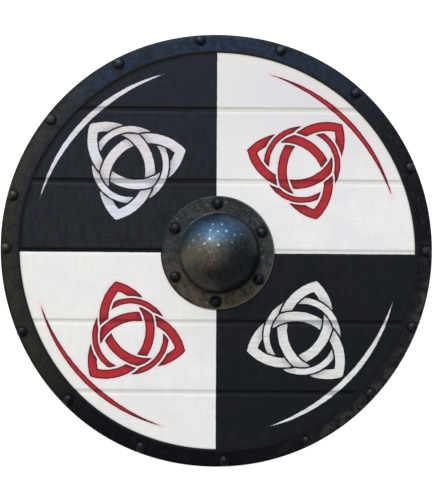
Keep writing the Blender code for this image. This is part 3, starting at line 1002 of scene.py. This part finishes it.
def hammer_marks(points, count, spacing, seed):
    """Places where the hammer fell, at least this far apart, with one random number each."""
    chance = np.random.default_rng(seed)
    kept = []
    tree = None
    for place in points[chance.integers(0, len(points), count * 14)]:
        if tree is None or tree.find(place)[2] > spacing:
            kept.append(place)
            tree = kdtree.KDTree(len(kept))
            for index, item in enumerate(kept):
                tree.insert(item, index)
            tree.balance()
        if len(kept) == count:
            break
    return tree, chance.random(len(kept))


def painted_highlight(spot):
    """How strong the painted highlight on a mark of the dome is: most toward the upper left, and none near
    the foot.
    """
    upper = np.clip((0.94 * spot[1] - 0.34 * spot[0] - 3) / 9, 0.12, 1.0)
    off_foot = np.clip((46 - math.hypot(spot[0], spot[1])) / 6, 0.0, 1.0)
    return upper * off_foot * (spot[1] > -12)


def planish(points):
    """How far the hammer moved each point of the boss's face, and how strong a painted highlight it gets."""
    skin = points.reshape(-1, 3)
    flange = skin[np.hypot(skin[:, 0], skin[:, 1]) > DOME_FOOT + 3]
    dents, luck = hammer_marks(skin, count=420, spacing=8.0, seed=12)
    # Marks that get painted highlights: on the upper dome, and a few faint ones on the flange
    bright, shine = hammer_marks(skin[skin[:, 2] > DOME_START], count=90, spacing=9.6, seed=5)
    dull, gleam = hammer_marks(flange, count=60, spacing=6.5, seed=8)
    lift, speck = np.zeros(points.shape[:2]), np.zeros(points.shape[:2])
    for row in range(len(points) - PLAIN_ROWS):
        for column, place in enumerate(points[row]):
            _, index, far = dents.find(place)
            hollow = (0.2 + 0.3 * luck[index]) * far * far / (2 * DOME_RADIUS)
            lift[row, column] = hollow - DENT_DEPTH
            spot, index, far = bright.find(place)
            size = 1.5 + 1.3 * shine[index]
            speck[row, column] = painted_highlight(spot) * max(0.0, 1 - (far / size) ** 2) ** 1.2
            _, index, far = dull.find(place)
            speck[row, column] += 0.3 * gleam[index] ** 2 * max(0.0, 1 - (far / 2.4) ** 2)
    return lift, speck


def path_normals(path):
    """The outward direction (r, z) at each point of a section."""
    run = np.roll(path, -1, axis=0) - np.roll(path, 1, axis=0)
    run /= np.linalg.norm(run, axis=1)[:, None]
    return -run[:, 1], run[:, 0]


def make_boss(finish):
    """A dished sheet, planished all over, with painted highlights on some marks."""
    face, edge, inside = boss_section()
    path = np.concatenate([face, edge, inside])
    r, z, angles = spun(path, BOSS_STEPS)
    points = in_space(r, z, angles)
    lift, speck = np.zeros(r.shape), np.zeros(r.shape)
    lift[: len(face)], speck[: len(face)] = planish(points[: len(face)])
    normal_r, normal_z = path_normals(path)
    points[..., 0] += lift * normal_r[:, None] * np.cos(angles)
    points[..., 1] += lift * normal_r[:, None] * np.sin(angles)
    points[..., 2] += lift * normal_z[:, None]
    dome = np.clip((points[..., 2] - BOSS_THICKNESS) / 3, 0, 1)
    inner = np.hypot(points[..., 0], points[..., 1]) < (DOME_FOOT + FLANGE_RADIUS) / 2
    points[..., 0] += np.where(inner, DOME_OFFSET_X, 0.0)
    points += (BOSS_CENTRE[0], BOSS_CENTRE[1], BOSS_LOW[2])
    flat, faces = crowned(points)
    obj = made_object("boss_dish", flat, faces, [finish], sharp=50.0)
    x, y = flat[:, 0], flat[:, 1]
    ring = np.hypot(x - BOSS_CENTRE[0] - DOME_OFFSET_X, y - BOSS_CENTRE[1]) - DOME_RADIUS
    # Painted shadow at the dome's foot, strongest on the lower right
    shaded = np.clip((x - y) / 60, 0, 1)
    mark(
        obj.data,
        speck=np.append(speck, (0.0, 0.0)),
        dome=np.append(dome, (1.0, 1.0)),
        border=FLANGE_RADIUS - np.hypot(x - BOSS_CENTRE[0], y - BOSS_CENTRE[1]),
        foot=shaded * np.clip(1 - np.abs(ring - 0.6) / 3.4, 0, 1),
        rivet=rivet_distance(x, y),
    )
    return obj


def crowned(points):
    """A turned sheet's points and faces, with its two small rings at the axis closed by fans."""
    rows, columns = points.shape[:2]
    flat = points.reshape(-1, 3)
    top, under = flat[:columns].mean(axis=0), flat[-columns:].mean(axis=0)
    flat = np.concatenate([flat, [top, under]])
    faces = grid(rows, columns, wrap=True)
    last = (rows - 1) * columns
    for column in range(columns):
        after = (column + 1) % columns
        faces.append((len(flat) - 2, after, column))
        faces.append((len(flat) - 1, last + column, last + after))
    return flat, faces


def hammered(points, radius, seed):
    """A rivet's points, measured from its seat, with a few flats where the hammer met its head."""
    chance = np.random.default_rng(seed)
    for _ in range(RIVET_FLATS):
        turn, lean = chance.uniform(0, math.tau), chance.uniform(0.0, FLAT_LEAN)
        facing = np.array([math.sin(lean) * math.cos(turn), math.sin(lean) * math.sin(turn), math.cos(lean)])
        surface = RIVET_HEAD_HEIGHT * facing[2] + 0.42 * radius * math.sin(lean)
        beyond = np.clip(points @ facing - surface * chance.uniform(0.88, 0.98), 0, None)
        on_head = points[:, 2] > 0.25
        points = points - 0.9 * beyond[:, None] * facing * on_head[:, None]
    return points


def make_rivet(node, finish):
    """A rivet with a hammered head, between the box's top and bottom."""
    low, high = box_mm(node)
    middle = (low + high) / 2
    radius = (high[0] - low[0]) / 2
    seat = high[2] - RIVET_HEAD_HEIGHT
    tail = low[2] + RIVET_TAIL_HEIGHT - seat
    path = np.concatenate([
        dish((0, 0), (radius, RIVET_HEAD_HEIGHT), 88, 0, 11),
        [(radius - 0.2, -0.15), (RIVET_SHANK_RADIUS, -0.15)],
        [(RIVET_SHANK_RADIUS, tail), (RIVET_TAIL_RADIUS, tail - 0.1)],
        [(RIVET_TAIL_RADIUS * 0.8, tail - 0.6 * RIVET_TAIL_HEIGHT)],
        [(0.2, low[2] - seat + 0.05)],
    ])
    points = in_space(*spun(path, RIVET_STEPS)).reshape(-1, 3)
    points = hammered(points, radius, RIVETS.index(node)) + (middle[0], middle[1], seat)
    faces = grid(len(path), RIVET_STEPS, wrap=True) + tube_ends(len(path), RIVET_STEPS)
    return made_object(f"{node}_head", points, faces, [finish], sharp=38.0)


# Grip


def grip_section(station):
    """The batten's section at a distance along it, as points (x, z) from its middle line."""
    half_length = (GRIP_HIGH[1] - GRIP_LOW[1]) / 2
    full_width = GRIP_HIGH[0] - GRIP_LOW[0]
    thickness = GRIP_HIGH[2]
    level_half = FLANGE_RADIUS + GRIP_LEVEL_MARGIN
    handle_half = HAND_HOLE_RADIUS - HANDLE_SHOULDER
    handle = 1 - eased((abs(station) - handle_half) / HANDLE_SHOULDER)
    half = (full_width + (HANDLE_WIDTH - full_width) * handle) / 2 - 0.05
    edge = GRIP_EDGE + (HANDLE_EDGE - GRIP_EDGE) * handle
    taper = max((abs(station) - level_half) / (half_length - level_half), 0.0)
    under = (thickness - GRIP_END_THICKNESS) * taper
    right = [
        (0.0, under),
        *((x, under) for x in np.linspace(0, half - edge, 5)[1:-1]),
        *dish((half - edge, under + edge), (edge, edge), -90, 0, 6),
        *dish((half - GRIP_EDGE, thickness - GRIP_EDGE), (GRIP_EDGE, GRIP_EDGE), 0, 90, 4),
        *((x, thickness) for x in np.linspace(half - GRIP_EDGE, 0, 5)[1:-1]),
    ]
    left = [(-x, z) for x, z in reversed(right[1:])]
    return [*right, (0.0, thickness), *left]


def make_grip(finish):
    """The batten across the back, waisted and rounded where the hand closes."""
    middle = (GRIP_LOW + GRIP_HIGH) / 2
    half_length = (GRIP_HIGH[1] - GRIP_LOW[1]) / 2
    stations = np.linspace(-half_length, half_length, GRIP_STATIONS)
    sections = [grip_section(station) for station in stations]
    points = [
        (middle[0] + x, middle[1] + station, z)
        for station, section in zip(stations, sections)
        for x, z in section
    ]
    around = len(sections[0])
    faces = grid(GRIP_STATIONS, around, wrap=True) + tube_ends(GRIP_STATIONS, around)
    return made_object("grip_batten", points, faces, [finish], sharp=40.0)


# Stage


def make_floor():
    corners = [(x * FLOOR_REACH, y * FLOOR_REACH, 0) for x, y in ((-1, -1), (1, -1), (1, 1), (-1, 1))]
    floor = made_object("floor", corners, [(0, 1, 2, 3)], [floor_finish()])


def make_world():
    """A pale studio: a cool bright wall beyond the top edge, a dimmer warm one on the left."""
    world = bpy.data.worlds.new("studio")
    bpy.context.scene.world = world
    world.use_nodes = True
    tree = world.node_tree
    tree.nodes.clear()

    coordinates = add_node(tree, "ShaderNodeTexCoord")
    light = None
    for direction, start, full, colour in WALLS:
        dot = add_node(tree, "ShaderNodeVectorMath", operation="DOT_PRODUCT")
        tree.links.new(coordinates.outputs["Generated"], dot.inputs[0])
        dot.inputs[1].default_value = direction
        ease = add_node(tree, "ShaderNodeMapRange", interpolation_type="SMOOTHSTEP")
        tree.links.new(dot.outputs["Value"], ease.inputs[0])
        ease.inputs[1].default_value = start
        ease.inputs[2].default_value = full
        wall = add_node(tree, "ShaderNodeVectorMath", operation="SCALE")
        wall.inputs[0].default_value = colour
        tree.links.new(ease.outputs[0], wall.inputs["Scale"])
        total = add_node(tree, "ShaderNodeVectorMath", operation="ADD")
        tree.links.new(wall.outputs["Vector"], total.inputs[0])
        total.inputs[1].default_value = FAINT_LIGHT
        if light is not None:
            tree.links.new(light, total.inputs[1])
        light = total.outputs["Vector"]
    choose = add_node(tree, "ShaderNodeMix", data_type="RGBA")
    tree.links.new(add_node(tree, "ShaderNodeLightPath").outputs["Is Camera Ray"], choose.inputs["Factor"])
    tree.links.new(light, choose.inputs[6])
    choose.inputs[7].default_value = BACKDROP
    background = add_node(tree, "ShaderNodeBackground")
    tree.links.new(choose.outputs[2], background.inputs["Color"])
    output = add_node(tree, "ShaderNodeOutputWorld")
    tree.links.new(background.outputs[0], output.inputs["Surface"])


def make_lamp(name, location, size, power, colour):
    """A square soft light that faces the shield."""
    data = bpy.data.lights.new(name, "AREA")
    data.energy = power
    data.size = size
    data.color = colour
    lamp = bpy.data.objects.new(name, data)
    lamp.location = location
    lamp.rotation_euler = (-Vector(location)).to_track_quat("-Z", "Y").to_euler()
    bpy.context.scene.collection.objects.link(lamp)


def make_camera():
    """Straight above the face, with the photograph's frame of 434 by 500 over the shield."""
    data = bpy.data.cameras.new("camera")
    data.lens = LENS
    data.sensor_width = SENSOR
    camera = bpy.data.objects.new("camera", data)
    camera.location = (*CAMERA_PLACE, RIM_HIGH[2] / MM + FRAME_HEIGHT * LENS / SENSOR)
    bpy.context.scene.collection.objects.link(camera)
    bpy.context.scene.camera = camera


def keep(obj, node):
    """The piece rides on the shield's body and stands for the node."""
    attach(obj, "root")
    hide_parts(node)


def main():
    make_camera()
    make_floor()
    make_world()
    make_lamp("key", location=(-1.5, 4.0, 4.8), size=1.6, power=235.0, colour=(1.0, 0.93, 0.83))
    board_finishes = [painted_finish(), bare_finish()]
    rivet = steel_finish("rivet_steel", rivet_tones, 0.1, (0.36, 0.5), shift=9.0)
    hole = hand_hole(board_finishes[1])
    for number, node in enumerate(BOARDS, 1):
        keep(make_board(number, node, board_finishes, hole), node)
    bpy.data.objects.remove(hole)
    rim = steel_finish("rim_steel", rim_tones, 0.22, (0.46, 0.66), shift=1.0)
    keep(make_rim(rim), "rim")
    boss = steel_finish("boss_steel", boss_tones, 0.3, (0.4, 0.55), shift=6.0, metallic=0.92)
    keep(make_boss(boss), "boss")
    for node in RIVETS:
        keep(make_rivet(node, rivet), node)
    keep(make_grip(grip_finish()), "grip")
    bpy.context.scene.view_settings.view_transform = "Standard"


main()
bpy.context.view_layer.update()
